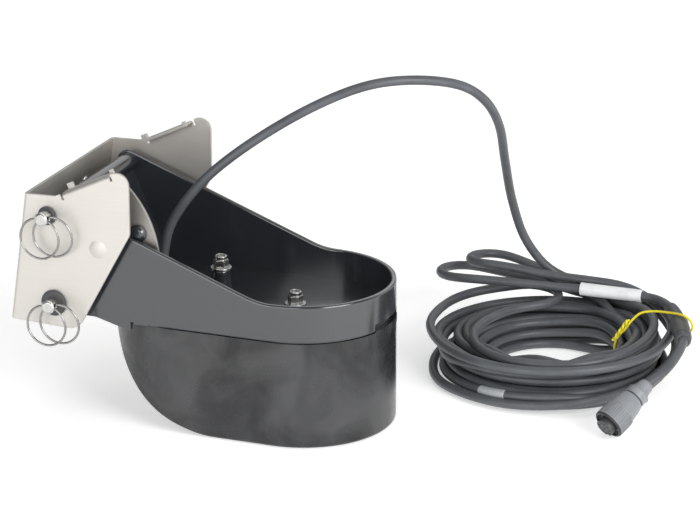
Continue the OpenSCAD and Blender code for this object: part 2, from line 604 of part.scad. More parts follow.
module coil_tie() color([0.93, 0.8, 0.1]) translate([coil_c[0], coil_c[1], coil_z]) rotate([0, 0, 23]) {
  translate([coil_ri - 1.5, -tie_w / 2, -1.5]) difference() {
    cube([coil_ro - coil_ri + 3, tie_w, coil_h + 3]);
    translate([1.2, -1, 1.2]) cube([coil_ro - coil_ri + 0.6, tie_w + 2, coil_h + 0.6]);
  }
  translate([coil_ri + 10, 0, coil_h + 1.5 - e]) cylinder(r = 1.4, h = 3);
}

// Plug: local Z points out of its mating face
shell_r = plug_d / 2 - 3.2;
neck_r = shell_r - 2;
module plug_ring() color([0.1, 0.1, 0.11]) aim(plug_at, plug_dir) difference() {
  rotate_extrude() polygon([[neck_r + seat_clear, -28], [shell_r - 0.6, -28], [shell_r + 0.3, -27.2], [plug_d / 2 - 1.7, -21.5], [plug_d / 2 - 0.9, -15],
    [plug_d / 2, -14.2], [plug_d / 2, -0.8], [plug_d / 2 - 0.8, 0], [plug_d / 2 - 1.9, 0], [plug_d / 2 - 1.9, -11], [shell_r + seat_clear, -11.6],
    [shell_r + seat_clear, -22.4], [neck_r + seat_clear, -22.4]]);
  for (i = [0:35]) rotate(10 * i) translate([plug_d / 2 + 0.2, 0, -13.2]) cylinder(r = 0.6, h = 11, $fn = 12);
}
module plug_shell() color([0.12, 0.12, 0.13]) aim(plug_at, plug_dir) difference() {
  union() {
    translate([0, 0, -22]) cylinder(r = shell_r, h = 19);
    translate([0, 0, -38]) cylinder(r = neck_r, h = 17);
    translate([0, 0, -36]) cylinder(r1 = shell_r - 1, r2 = shell_r - 0.2, h = 1.4);
    translate([0, 0, -34.6 - e]) cylinder(r = shell_r - 0.2, h = 5.6);
  }
  translate([0, 0, -20]) cylinder(r = shell_r - 1.2, h = 30);
  translate([0, 0, -60]) cylinder(r = cable_r + seat_clear, h = 60);
}
insert_r = shell_r - 1.2 - seat_clear;
module contact_spots() {
  for (i = [0:contact_n - 1]) rotate(360 * i / contact_n) translate([insert_r - 2.2, 0, 0]) children();
  children();
}
module plug_insert() color([0.05, 0.05, 0.05]) aim(plug_at, plug_dir) difference() {
  translate([0, 0, -19.7]) cylinder(r = insert_r, h = 19.7 + insert_out);
  translate([0, 0, -17 - seat_clear]) contact_spots() cylinder(r = 0.8 + seat_clear / 3, h = 20 + insert_out, $fn = 20);
  translate([insert_r - 0.9, -1, insert_out - 8]) cube([3, 2, 10]);
}
module plug_contacts() color([0.8, 0.72, 0.45]) aim(plug_at, plug_dir) translate([0, 0, -17]) contact_spots() {
  cylinder(r = 0.8, h = 16.5 + insert_out, $fn = 20);
}
module plug_boot() color([0.07, 0.07, 0.07]) aim(plug_at, plug_dir) rotate_extrude() polygon([
  [cable_r + seat_clear, -45], [cable_r + 0.9, -45], [cable_r + 2, -43.6], [cable_r + 2.6, -38.1], [cable_r + seat_clear, -38.1]]);

body_shell();
element_holder();
ceramic_elements();
potting();
temperature_probe();
tray();
arm_plate();
plate_button();
plate_rivets();
studs();
stud_washers();
stud_nuts();
cable_gland();
transom_bracket();
hinge_bushes();
lock_bushes();
hinge_pin();
lock_pin();
hinge_ring();
lock_ring();
cable();
cable_coil();
cable_tail();
label_sleeve();
tape_marker();
joint_sleeve();
coil_tie();
plug_boot();
plug_shell();
plug_ring();
plug_insert();
plug_contacts();
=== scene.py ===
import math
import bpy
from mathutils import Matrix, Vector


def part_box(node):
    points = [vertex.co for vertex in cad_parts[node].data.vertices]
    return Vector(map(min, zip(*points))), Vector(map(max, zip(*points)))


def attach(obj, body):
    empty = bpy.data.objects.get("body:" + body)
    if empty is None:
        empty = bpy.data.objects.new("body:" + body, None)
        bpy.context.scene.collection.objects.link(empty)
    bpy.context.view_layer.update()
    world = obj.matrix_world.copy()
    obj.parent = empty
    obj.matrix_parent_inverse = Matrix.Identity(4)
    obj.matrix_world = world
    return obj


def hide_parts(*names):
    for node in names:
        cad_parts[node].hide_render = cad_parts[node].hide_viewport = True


bl_info = {
    "name": "Kick-up sonar transducer",
    "version": (1, 0, 0),
    "blender": (4, 5, 0),
    "location": "3D View > Sidebar > Transducer",
    "description": "Dresses the packed transducer: mouldings, bracket, release pins, cable coil and plug",
    "category": "Object",
}

import bmesh
import bpy
import numpy as np
from bpy.props import (
    FloatProperty,
    FloatVectorProperty,
    IntProperty,
    PointerProperty,
)
from bpy.types import Operator, Panel, PropertyGroup
from mathutils import Matrix, Vector

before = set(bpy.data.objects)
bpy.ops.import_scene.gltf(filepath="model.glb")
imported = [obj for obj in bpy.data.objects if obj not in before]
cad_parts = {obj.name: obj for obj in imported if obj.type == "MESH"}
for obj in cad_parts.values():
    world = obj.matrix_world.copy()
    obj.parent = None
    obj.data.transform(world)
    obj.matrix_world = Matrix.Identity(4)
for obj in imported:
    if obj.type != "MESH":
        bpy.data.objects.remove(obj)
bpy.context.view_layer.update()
MM = 0.001
WELD = 2e-6                     # points nearer than this are joined, in metres
FLAT_AREA = 2e-4                # a plane larger than this is shaded flat, in square metres
ONE_PLANE = math.radians(0.3)   # faces that turn less than this are one plane
SHARP = math.radians(28.0)      # edges that turn more than this are rounded
# Rounding of the edges of the small pieces, in metres
ROUNDING = {
    "label_sleeve": 0.0004, "cable_gland": 0.0004, "plug_shell": 0.0004, "plug_boot": 0.0004,
    "plug_ring": 0.0002, "plug_contacts": 0.0002, "plug_insert": 0.00015,
    "plate_button": 0.0008, "plate_rivets": 0.0005, "stud_washers": 0.0003, "stud_nuts": 0.0003,
}


# Settings

def colour(name, words, value):
    return FloatVectorProperty(
        name=name, description=words, subtype="COLOR", size=3, min=0.0, max=1.0, default=value)


def length(name, words, value, low, high):
    return FloatProperty(
        name=name, description=words, subtype="DISTANCE", unit="LENGTH",
        default=value, min=low, max=high, precision=5)


def angle(name, words, degrees):
    return FloatProperty(name=name, description=words, subtype="ANGLE", default=math.radians(degrees))


def number(name, words, value, low, high, unit="NONE"):
    return FloatProperty(name=name, description=words, unit=unit, default=value, min=low, max=high)


def whole(name, words, value, low, high):
    return IntProperty(name=name, description=words, default=value, min=low, max=high)


class TransducerCableSettings(PropertyGroup):
    diameter: length("Cable diameter", "Outside diameter of the cable jacket", 0.007, 0.004, 0.012)
    looseness: length("Looseness", "How far one turn of the coil strays from the next", 0.0042, 0.0, 0.01)
    seed: whole("Seed", "Start number of the coil's stray", 11, 0, 999)
    steps: whole("Settling steps", "Steps in which the turns push each other apart", 260, 1, 600)


class TransducerEdgeSettings(PropertyGroup):
    rim: length("Tray rim", "Rounding along the rim of the tray", 0.0014, 0.0, 0.002)
    moulding: length("Moulded edges", "Rounding of the other moulded edges", 0.0006, 0.0, 0.002)
    sheet: length("Sheet edges", "Rounding of the cut edges of the steel sheet", 0.0004, 0.0, 0.001)
    turned: length("Turned edges", "Rounding of the pins, nuts and bushes", 0.0004, 0.0, 0.001)


class TransducerFinishSettings(PropertyGroup):
    tray: colour("Tray", "Moulded black of the tray", (0.022, 0.0245, 0.029))
    body: colour("Body", "Cast black of the transducer body", (0.021, 0.0215, 0.0235))
    steel: colour("Bracket steel", "Stainless sheet of the bracket", (0.66, 0.635, 0.60))
    bright: colour("Bright steel", "Pins, studs and nuts", (0.62, 0.615, 0.60))
    ring: colour("Ring wire", "Dull wire of the pull rings", (0.34, 0.335, 0.33))
    bush: colour("Bushes", "Black bushes in the flanges", (0.062, 0.062, 0.065))
    jacket: colour("Cable jacket", "Soft dark grey of the cable", (0.082, 0.088, 0.096))
    plug: colour("Plug", "Moulded dark grey of the plug", (0.24, 0.25, 0.265))
    joint: colour("Cable joint", "Rubber of the joint in the cable", (0.075, 0.078, 0.083))
    label: colour("Label", "Bare label sleeve", (0.86, 0.87, 0.88))
    tie: colour("Tie", "Yellow wire tie", (0.86, 0.73, 0.03))


class TransducerStageSettings(PropertyGroup):
    azimuth: angle("Camera azimuth", "Turn of the camera round the object", 20.68)
    elevation: angle("Camera elevation", "Height angle of the camera", 19.04)
    distance: length("Camera distance", "Camera to its target", 2.2, 0.5, 10.0)
    lens: number("Lens", "Focal length on a 36 mm sensor", 158.45, 20.0, 300.0, unit="CAMERA")
    floor: colour("Floor", "Pale studio floor", (0.93, 0.93, 0.93))
    floor_glow: number("Floor glow", "Light that the lit floor gives off", 0.46, 0.0, 2.0)
    ambient: number("Ambient light", "Strength of the white surround", 0.2, 0.0, 5.0)


# Shared helpers

def settings():
    return bpy.context.scene


def add_object(name, data):
    obj = bpy.data.objects.new(name, data)
    bpy.context.scene.collection.objects.link(obj)
    return obj


def mesh_object(name, bm, smooth=True):
    mesh = bpy.data.meshes.new(name)
    bm.to_mesh(mesh)
    bm.free()
    if smooth:
        mesh.shade_smooth()
    return add_object(name, mesh)


def dress(obj, material, slot, body, *nodes):
    obj.data.materials.clear()
    obj.data.materials.append(material)
    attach(obj, body)
    if nodes:
        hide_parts(*nodes)
    return obj


def finish_node(node, material):
    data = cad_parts[node].data
    data.materials.clear()
    data.materials.append(material)


def shade_flats(bm):
    """Large plane faces are shaded flat, all the others smooth."""
    plane = {}
    for face in bm.faces:
        n = face.normal
        plane[face] = (round(n.x, 3), round(n.y, 3), round(n.z, 3), round(n.dot(face.verts[0].co), 4))
    area = {}
    for face, key in plane.items():
        area[key] = area.get(key, 0.0) + face.calc_area()
    for face, key in plane.items():
        face.smooth = area[key] < FLAT_AREA


def rounded_copy(node, name, width, weight=None, segments=3):
    """A copy of a solid with its sharp edges rounded; weight(edge) scales the rounding of one edge."""
    bm = bmesh.new()
    bm.from_mesh(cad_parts[node].data)
    bmesh.ops.remove_doubles(bm, verts=bm.verts[:], dist=WELD)
    if width > 0.0:
        bmesh.ops.dissolve_limit(bm, angle_limit=ONE_PLANE, verts=bm.verts[:], edges=bm.edges[:])
        bmesh.ops.connect_verts_concave(bm, faces=bm.faces[:])
    shade_flats(bm)
    layer = bm.edges.layers.float.get("bevel_weight_edge") or bm.edges.layers.float.new("bevel_weight_edge")
    for edge in bm.edges:
        if len(edge.link_faces) == 2 and abs(edge.calc_face_angle(0.0)) > SHARP:
            edge[layer] = 1.0 if weight is None else weight(edge)
            edge.smooth = width * edge[layer] > 0.0
    obj = mesh_object(name, bm, smooth=False)
    if width > 0.0:
        bevel = obj.modifiers.new("Rounded edges", "BEVEL")
        bevel.width = width
        bevel.segments = segments
        bevel.limit_method = "WEIGHT"
        bevel.use_clamp_overlap = False
        bevel.loop_slide = False
    normals = obj.modifiers.new("Even shading", "WEIGHTED_NORMAL")
    normals.keep_sharp = True
    normals.weight = 60
    return obj


def rounded_piece(node, name, material, slot, body="transducer", width=None, segments=3):
    """A rounded copy of one solid, dressed and put in the place of that solid."""
    rounding = ROUNDING[node] if width is None else width
    return dress(rounded_copy(node, name, rounding, segments=segments), material, slot, body, node)


def wire(name, lines, radius, resolution):
    """A round wire along each of the lines, in metres."""
    curve = bpy.data.curves.new(name, "CURVE")
    curve.dimensions = "3D"
    curve.bevel_depth = radius
    curve.bevel_resolution = resolution
    curve.use_fill_caps = True
    for line in lines:
        spline = curve.splines.new("POLY")
        spline.points.add(len(line) - 1)
        for target, p in zip(spline.points, line):
            target.co = (p[0], p[1], p[2], 1.0)
        spline.use_smooth = True
    return add_object(name, curve)


def sleeve(name, line, radii):
    """A round sleeve along the line; radii are (share of its length, radius) pairs."""
    obj = wire(name, [line], 1.0, 6)
    run = run_of(line)
    at, size = zip(*radii)
    for point, radius in zip(obj.data.splines[0].points, np.interp(run / run[-1], at, size)):
        point.radius = radius
    return obj


def steps_of(line):
    """Distance from each point of the line to the next."""
    return np.linalg.norm(np.diff(line, axis=0), axis=1)


def run_of(line):
    """Distance along the line to each of its points."""
    return np.concatenate([[0.0], np.cumsum(steps_of(line))])


def nearest(line, spot):
    """Number of the line's point that is nearest to the spot."""
    return int(np.argmin(np.linalg.norm(line - np.array(spot), axis=1)))


def smooth_line(points, gap):
    """Points about gap apart on a smooth line through the given ones."""
    p = np.asarray(points, float)
    ends = np.vstack([2 * p[0] - p[1], p, 2 * p[-1] - p[-2]])
    out = []
    for i in range(len(p) - 1):
        a, b, c, d = ends[i:i + 4]
        square = 2 * a - 5 * b + 4 * c - d
        cube = 3 * b - a - 3 * c + d
        count = max(2, int(math.ceil(np.linalg.norm(c - b) / gap)))
        for j in range(count):
            t = j / count
            out.append(0.5 * (2 * b + (c - a) * t + square * t * t + cube * t ** 3))
    out.append(p[-1])
    return np.array(out)


def even_line(points, gap):
    """The same line with its points an equal gap apart."""
    p = np.asarray(points, float)
    run = run_of(p)
    at = np.linspace(0.0, run[-1], max(3, int(round(run[-1] / gap)) + 1))
    return np.stack([np.interp(at, run, p[:, k]) for k in range(3)], axis=1)


# Materials

CONTACT_PLATING = (0.88, 0.84, 0.74)
TAPE_GREY = (0.42, 0.44, 0.46)
CORK = (0.42, 0.29, 0.16)
CERAMIC = (0.74, 0.71, 0.62)
RESIN = (0.07, 0.06, 0.052)
PLATE_PAINTED_SHADE = 0.6               # painted shade: the arm plate's steel is darkened beside that of the bracket, for the shade it lies in inside the tray
INSERT_SHADE = 0.22             # the insert's grey beside that of the plug
# painted shade: the coupling ring's front turns black for the shade in its hollow bore
BORE_SHADE_START = 0.0016              # the coupling ring's grey turns black from here, in metres behind its front,
BORE_SHADE_END = 0.0012                # to here
SHEET_EDGE = 0.0006             # shaded rounding of the bracket's edges, in metres


class Finish:
    """A node tree with one shader and the noise that varies it."""

    def __init__(self, name):
        self.material = bpy.data.materials.new(name)
        self.material.use_nodes = True
        self.tree = self.material.node_tree
        self.shader = self.tree.nodes["Principled BSDF"]
        self.place = self.tree.nodes.new("ShaderNodeTexCoord").outputs["Object"]
        self.normal = None

    def set(self, **values):
        for key, value in values.items():
            self.shader.inputs[key.replace("_", " ")].default_value = value

    def noise(self, scale, detail=4.0, rough=0.55, stretch=None, warp=0.0):
        node = self.tree.nodes.new("ShaderNodeTexNoise")
        node.inputs["Scale"].default_value = scale
        node.inputs["Detail"].default_value = detail
        node.inputs["Roughness"].default_value = rough
        node.inputs["Distortion"].default_value = warp
        if stretch:
            mapping = self.tree.nodes.new("ShaderNodeMapping")
            mapping.inputs["Scale"].default_value = stretch
            self.tree.links.new(self.place, mapping.inputs["Vector"])
            self.tree.links.new(mapping.outputs["Vector"], node.inputs["Vector"])
        else:
            self.tree.links.new(self.place, node.inputs["Vector"])
        return node.outputs["Fac"]

    def spread(self, value, low, high, start=0.3, end=0.7):
        node = self.tree.nodes.new("ShaderNodeMapRange")
        node.inputs["From Min"].default_value = start
        node.inputs["From Max"].default_value = end
        node.inputs["To Min"].default_value = low
        node.inputs["To Max"].default_value = high
        self.tree.links.new(value, node.inputs["Value"])
        return node.outputs["Result"]

    def add(self, a, b):
        node = self.tree.nodes.new("ShaderNodeMath")
        node.operation = "ADD"
        self.tree.links.new(a, node.inputs[0])
        self.tree.links.new(b, node.inputs[1])
        return node.outputs[0]

    def tint(self, value, dark, light):
        node = self.tree.nodes.new("ShaderNodeMix")
        node.data_type = "RGBA"
        node.inputs[6].default_value = (*dark, 1.0)
        node.inputs[7].default_value = (*light, 1.0)
        self.tree.links.new(value, node.inputs[0])
        return node.outputs[2]

    def bump(self, height, strength, distance):
        node = self.tree.nodes.new("ShaderNodeBump")
        node.inputs["Strength"].default_value = strength
        node.inputs["Distance"].default_value = distance
        self.tree.links.new(height, node.inputs["Height"])
        if self.normal:
            self.tree.links.new(self.normal, node.inputs["Normal"])
        self.normal = node.outputs["Normal"]

    def soft_edges(self, radius):
        node = self.tree.nodes.new("ShaderNodeBevel")
        node.samples = 6
        node.inputs["Radius"].default_value = radius
        self.normal = node.outputs["Normal"]

    def join(self, base, rough):
        self.tree.links.new(base, self.shader.inputs["Base Color"])
        self.tree.links.new(rough, self.shader.inputs["Roughness"])
        if self.normal:
            self.tree.links.new(self.normal, self.shader.inputs["Normal"])
        return self.material


def shade(c, k):
    return tuple(min(1.0, x * k) for x in c)


MADE = {}


def made(name, maker, base, **looks):
    """The material of that name, made at its first use."""
    if name not in MADE:
        MADE[name] = maker(name, tuple(base), **looks)
    return MADE[name]


def moulded(name, base, low, high, cloud, span, grain, sheen=0.5, coat=0.0):
    """Moulded plastic: faint flow clouds, a fine skin and patchy gloss between low and high roughness."""
    f = Finish(name)
    f.set(Specular_IOR_Level=sheen, Coat_Weight=coat, Coat_Roughness=0.12)
    clouds = f.spread(f.noise(cloud, 5.0, 0.6, warp=0.6), 0.0, 1.0)
    gloss = f.spread(f.noise(cloud * 5, 4.0), low, high)
    f.bump(f.noise(1600.0, 2.0), grain, 0.0004)
    f.bump(f.noise(26.0, 2.0), 0.02, 0.002)
    return f.join(f.tint(clouds, shade(base, 1 - span), shade(base, 1 + span)), gloss)


def cast_body(name, base):
    """Cast body: blotchy handling marks over a satin skin."""
    f = Finish(name)
    blots = f.spread(f.noise(17.0, 3.0, 0.5, warp=0.9), 0.0, 1.0, 0.36, 0.66)
    sheen = f.spread(f.noise(24.0, 3.0, 0.55, warp=0.8), 0.42, 0.86, 0.36, 0.64)
    f.tree.links.new(sheen, f.shader.inputs["Specular IOR Level"])
    fine = f.spread(f.noise(120.0, 5.0, 0.6), -0.05, 0.05)
    rough = f.add(f.spread(f.noise(21.0, 3.0, 0.5, warp=0.7), 0.22, 0.36, 0.36, 0.66), fine)
    f.bump(f.noise(1300.0, 3.0), 0.02, 0.0004)
    f.bump(f.noise(30.0, 2.0), 0.03, 0.002)
    return f.join(f.tint(blots, shade(base, 0.62), shade(base, 1.3)), rough)


def sheet_steel(name, base):
    """Rolled stainless sheet: fine lines along X, soft clouds and handling marks."""
    f = Finish(name)
    f.set(Metallic=1.0)
    f.soft_edges(SHEET_EDGE)
    lines = f.noise(1.0, 3.0, 0.6, stretch=(22.0, 1500.0, 1500.0))
    clouds = f.noise(14.0, 4.0, 0.6, warp=0.5)
    rough = f.add(f.spread(lines, -0.05, 0.07), f.spread(clouds, 0.48, 0.6))
    f.bump(lines, 0.05, 0.0003)
    f.bump(f.noise(20.0, 2.0), 0.03, 0.003)
    return f.join(f.tint(f.spread(clouds, 0.0, 1.0), shade(base, 0.94), shade(base, 1.03)), rough)


def bright_steel(name, base):
    """Drawn or turned bright steel."""
    f = Finish(name)
    f.set(Metallic=1.0)
    marks = f.noise(700.0, 4.0, 0.6)
    f.bump(f.noise(2400.0, 2.0), 0.03, 0.0002)
    clouds = f.spread(f.noise(160.0, 3.0), 0.0, 1.0)
    return f.join(f.tint(clouds, shade(base, 0.86), shade(base, 1.06)), f.spread(marks, 0.2, 0.36))


def cable_jacket(name, base):
    """Soft extruded jacket: dull bloom, fine drag lines and scuffs."""
    f = Finish(name)
    f.set(Specular_IOR_Level=0.5)
    bloom = f.noise(30.0, 4.0, 0.6, warp=0.4)
    scuffs = f.noise(240.0, 5.0, 0.65)
    rough = f.add(f.spread(bloom, 0.36, 0.5), f.spread(scuffs, -0.05, 0.05))
    f.bump(f.noise(1100.0, 3.0), 0.04, 0.0004)
    f.bump(scuffs, 0.03, 0.0006)
    return f.join(f.tint(f.spread(bloom, 0.0, 1.0), shade(base, 0.82), shade(base, 1.25)), rough)


def printed_sleeve(name, base):
    """Bare shrink sleeve: soft sheen, faint wrinkles and handling dirt."""
    f = Finish(name)
    dirt = f.spread(f.noise(90.0, 5.0, 0.6, warp=0.8), 0.0, 1.0, 0.35, 0.75)
    f.bump(f.noise(260.0, 3.0), 0.05, 0.0006)
    return f.join(f.tint(dirt, base, shade(base, 0.86)), f.spread(f.noise(70.0, 3.0), 0.3, 0.45))


def coupling_grey(name, base):
    """Moulded grey of the coupling ring, with painted shade: black on its front, standing in for the shade
    of its hollow bore.
    """
    f = Finish(name)
    along = f.tree.nodes.new("ShaderNodeVectorMath")
    along.operation = "DOT_PRODUCT"
    along.inputs[1].default_value = PLUG_DIR
    f.tree.links.new(f.place, along.inputs[0])
    front = float(PLUG_AT @ PLUG_DIR) * MM
    # painted shade: black towards the front of the ring, for the shade in its hollow bore
    painted_bore_shade = f.spread(along.outputs["Value"], 0.0, 1.0, front - BORE_SHADE_START, front - BORE_SHADE_END)
    clouds = f.spread(f.noise(70.0, 5.0, 0.6, warp=0.6), -0.08, 0.08)
    f.bump(f.noise(1600.0, 2.0), 0.03, 0.0004)
    tone = f.tint(f.add(painted_bore_shade, clouds), base, shade(base, 0.1))
    return f.join(tone, f.spread(f.noise(350.0, 4.0), 0.36, 0.5))


def speckled(name, base, span, scale, low, high, grain):
    """Grainy or mottled stuff: cork, fired ceramic and resin."""
    f = Finish(name)
    specks = f.spread(f.noise(scale, 6.0, 0.7, warp=0.3), 0.0, 1.0)
    f.bump(f.noise(scale * 2.2, 4.0), grain, 0.0008)
    tone = f.tint(specks, shade(base, 1 - span), shade(base, 1 + span))
    return f.join(tone, f.spread(f.noise(scale / 2, 3.0), low, high))


def tray_black():
    return made("tray_black", moulded, settings().transducer_finish.tray, low=0.15, high=0.24,
                cloud=7.0, span=0.12, grain=0.012, sheen=0.95, coat=0.5)


def bush_black():
    return made("bush_black", moulded, settings().transducer_finish.bush, low=0.4, high=0.55,
                cloud=60.0, span=0.2, grain=0.03)


def bright():
    return made("bright_turned_steel", bright_steel, settings().transducer_finish.bright)


# Route of the cable, in millimetres; the first sizes and both runs are those of the solids

SEAM_H = 79.0
BOW_R = 105.0
BOW_START = 35.0
BOW_FOOT = -BOW_START - math.sqrt(BOW_R ** 2 - (BOW_R - SEAM_H) ** 2)
GLAND_X = BOW_FOOT + 26.0
FLOOR_Z = 84.5
COIL = np.array([142.0, 148.0, 0.0])
PLUG_AT = np.array([220.0, 32.0, 10.84])
PLUG_DIR = np.array([-0.426, -0.766, -0.479])
TAIL_END = PLUG_AT - 34 * PLUG_DIR
REST = 43.4                     # height at which the cable comes down on the coil
LAY = 44.9                      # height at which it leaves the coil
RUN_OUT = [
    [GLAND_X, 0, FLOOR_Z + 0.5], [GLAND_X, 0, FLOOR_Z + 12], [GLAND_X + 0.5, 0.5, FLOOR_Z + 27],
    [GLAND_X + 6, 4, 135], [-84, 10, 165], [-54, 22, 192], [-16, 44, 217], [20, 64, 233], [50, 84, 236],
    [77, 112, 228], [90, 136, 211], [94.5, 158, 186], [92.5, 180, 152], [92, 200, 116], [98, 214, 82],
    [112, 223, 58], [130, 230, REST + 2.4], [150, 233, REST], [172, 230, REST],
]
RUN_IN = [
    [130, 211, LAY], [146, 212.8, LAY], [163, 212.8, LAY], [180, 212.8, LAY], [196, 212.6, LAY],
    [209, 208, LAY], [220, 196, LAY], [231, 176, LAY], [239, 156, LAY], [245, 140, LAY + 0.5],
    [249.9, 123, LAY + 2], [251.8, 112, 47.6], [252.3, 100, 45.8], [250, 87.5, 41.2], [245, 75.5, 36],
    list(TAIL_END - 12 * PLUG_DIR), list(TAIL_END - 6 * PLUG_DIR), list(TAIL_END),
]
# Height of each layer of turns, its shift in X and Y, and the radii of its turns in the order they are laid
LAYERS = [
    (3.7, 3, 2, [49.0, 56.5, 64.0, 71.6, 79.5]),
    (11.2, 2, 1, [84.0, 75.8, 67.8, 60.0, 52.5]),
    (18.6, -1, 1, [54.0, 62.5, 71.0, 79.5]),
    (26.0, -4, 3, [82.0, 73.0, 64.0]),
]
FOLD_AT = 58.0                  # azimuth at which the turns lie over the first fold, in degrees
TURN_STEPS = 64                 # points on one turn
LATEST = 0.55                   # share of a turn after which it begins, at the latest, to cross to the next,
CROSSING = 0.45                 # and the share in which it crosses
HUMP = 7.0                      # rise of the turns over the fold,
HUMP_WIDTH = 0.072              # half its width as a share of a turn,
HUMP_FADE = 0.022               # its loss with each millimetre of height
HUMP_LEAST = 0.25               # and the part of it that is left in the end
LYING = 6.0                     # turns lower than this lie flat on the floor,
LIFT = 1.3                      # the others rise and fall by this
RUN_GAP = 6.0                   # distance between the points of the two runs,
TURN_GAP = 5.0                  # of the drawn turns
COIL_GAP = 5.6                  # and of the coil as it settles
WEAK_HOLD = 0.02                # pull of a stacked turn to its first course in one step,
FIRM_HOLD = 0.1                 # and that of the first turn and the loose loops
FIRM_SHARE = 0.9                # part of the first turn that is held firmly


def polar(azimuth, radius, height):
    a = math.radians(azimuth)
    return [COIL[0] + radius * math.cos(a), COIL[1] + radius * math.sin(a), height]


def arc(x, y, radius, angles, heights):
    """Points on an arc seen from above; their height runs evenly from the first of heights to the second."""
    low, high = heights
    last = len(angles) - 1
    points = []
    for k, degrees in enumerate(angles):
        a = math.radians(degrees)
        points.append([x + radius * math.cos(a), y + radius * math.sin(a), low + (high - low) * k / last])
    return points


def first_turn():
    """From the back of the coil down its outside to the floor, then folded back inwards."""
    down = [
        [193, 225, 36.5], [214, 208, 29.5], [229, 182, 24], polar(3, 91.5, 19), polar(-30, 91.5, 14),
        polar(-65, 91.5, 9.5), polar(-100, 91, 6), polar(-140, 90.5, 3.8), polar(180, 90, 3.7),
        polar(145, 90.5, 3.7), polar(115, 93, 3.7),
    ]
    return down + arc(160, 219, 25, range(90, -82, -19), (3.7, 3.7))


def stacked_turns(loose, seed):
    """Turns laid layer on layer, each with its own stray, humped over the fold under them."""
    rng = np.random.default_rng(seed)
    slots = np.array([(r, z, x, y) for z, x, y, radii in LAYERS for r in radii])
    count = len(slots)
    stray = rng.uniform(0, 2 * math.pi, (count, 3))
    size = rng.uniform(0.35, 1.0, (count, 2))
    late = rng.uniform(0.0, LATEST, count)
    ring = []
    for i in range(3, count * TURN_STEPS + 1):
        turns = i / TURN_STEPS
        k = min(i // TURN_STEPS, count - 1)
        n = min(k + 1, count - 1)
        w = min(1.0, max(0.0, (turns - k - late[k]) / CROSSING))
        w = w * w * (3 - 2 * w)
        a = math.radians(FOLD_AT) + 2 * math.pi * i / TURN_STEPS
        r, z, x, y = (1 - w) * slots[k] + w * slots[n]
        wide = size[:, 0] * np.cos(a - stray[:, 0]) + 0.4 * size[:, 1] * np.cos(2 * a - stray[:, 1])
        sway = np.stack([wide, np.cos(a - stray[:, 2])])
        out, lift = (1 - w) * sway[:, k] + w * sway[:, n]
        start = min(1.0, turns)
        off = (turns + 0.5) % 1.0 - 0.5
        hump = HUMP * math.exp(-(off / HUMP_WIDTH) ** 2) * max(HUMP_LEAST, 1.0 - HUMP_FADE * z)
        if turns <= 0.5:
            hump = 0.0
        r += start * loose * out
        height = z + hump + (LIFT * lift if z > LYING else 0.0)
        ring.append([COIL[0] + start * x + r * math.cos(a), COIL[1] + start * y + r * math.sin(a), height])
    return ring


def loose_turns():
    """Two long loops that stand out at the back, with a turn and a fold between them, to the label."""
    upper = [polar(75, 73, 34.5), polar(92, 84, 37), [118, 244, 40.5], [95, 251, 45.5]]
    upper += arc(72, 231, 22, range(90, 271, 20), (50.5, 57.5))
    upper += [
        [95, 211.5, 55.5], [112, 214, 53], [130, 219, 50.5], [150, 222.5, 49], [172, 223, 48],
        [188, 222, 44.5], [203, 215.5, 40], [216, 202, 37.2], [225, 184, 36.6], [230, 164, 36],
        polar(-4, 88, 35), polar(-20, 88, 34), polar(-45, 87, 32.7), polar(-75, 86, 32), polar(-105, 87, 32),
        polar(-135, 89, 33), polar(-165, 92, 34.5), polar(168, 93, 36), polar(147, 92.5, 37),
    ]
    fold = polar(122, 69, 37)
    upper += arc(fold[0], fold[1], 23, range(122, -59, -20), (37.3, 36.5))
    upper += [
        polar(150, 46, 36), polar(178, 50, 35), polar(205, 58.5, 34), polar(235, 68, 33.4),
        polar(265, 74, 33.2), polar(300, 76, 33.6),
    ]
    lower = [
        polar(330, 76, 35.5), polar(0, 76, 38.5), polar(22, 76.5, 41), polar(42, 77, 39.5), [180, 216, 36.6],
        [160, 229.5, 33.5], [135, 241, 31.5], [108, 247, 34], [80, 243, 39],
    ]
    lower += arc(54, 215, 23, range(90, 271, 20), (43.5, 49.5))
    lower += [[80, 194.5, 49.5], [105, 202, 47.6]]
    return upper + lower


def settle(line, free, hold, d, steps):
    """Turns push each other apart; the line stays smooth, near its first course and above the floor."""
    reach = 1.45 * d            # pairs of points nearer than this are watched,
    look_every = 4              # found anew after so many steps,
    skip = 8                    # with so many points or more between them on the line
    apart = 1.02 * d            # distance to which they push each other
    most = 2.0                  # largest lack of distance that counts
    push_part = 0.42
    crowd = 0.45                # how far many pushes at one point weaken each other
    smooth_part = 0.5
    lowest = d / 2 + 0.1
    p = line.copy()
    n = len(p)
    for step in range(steps):
        if step % look_every == 0:
            g = p @ p.T
            s = np.diag(g)
            close = (s[:, None] + s[None, :] - 2 * g) < reach ** 2
            i, j = np.nonzero(np.triu(close, skip))
        gap = p[j] - p[i]
        dist = np.linalg.norm(gap, axis=1) + 1e-9
        short = np.clip(apart - dist, 0.0, most)
        push = gap / dist[:, None] * (push_part * short)[:, None]
        move = np.zeros_like(p)
        np.add.at(move, j, push)
        np.add.at(move, i, -push)
        hits = np.bincount(np.concatenate([i, j]), minlength=n)
        p += np.where(free, move / np.maximum(1, hits * crowd)[:, None], 0.0)
        curve = np.zeros_like(p)
        curve[2:-2] = (-p[:-4] + 4 * p[1:-3] + 4 * p[3:-1] - p[4:]) / 6 - p[2:-2]
        p += np.where(free, smooth_part * curve, 0.0)
        p += np.where(free, hold * (line - p), 0.0)
        p[:, 2] = np.where(free[:, 0] & (p[:, 2] < lowest), lowest, p[:, 2])
    return p


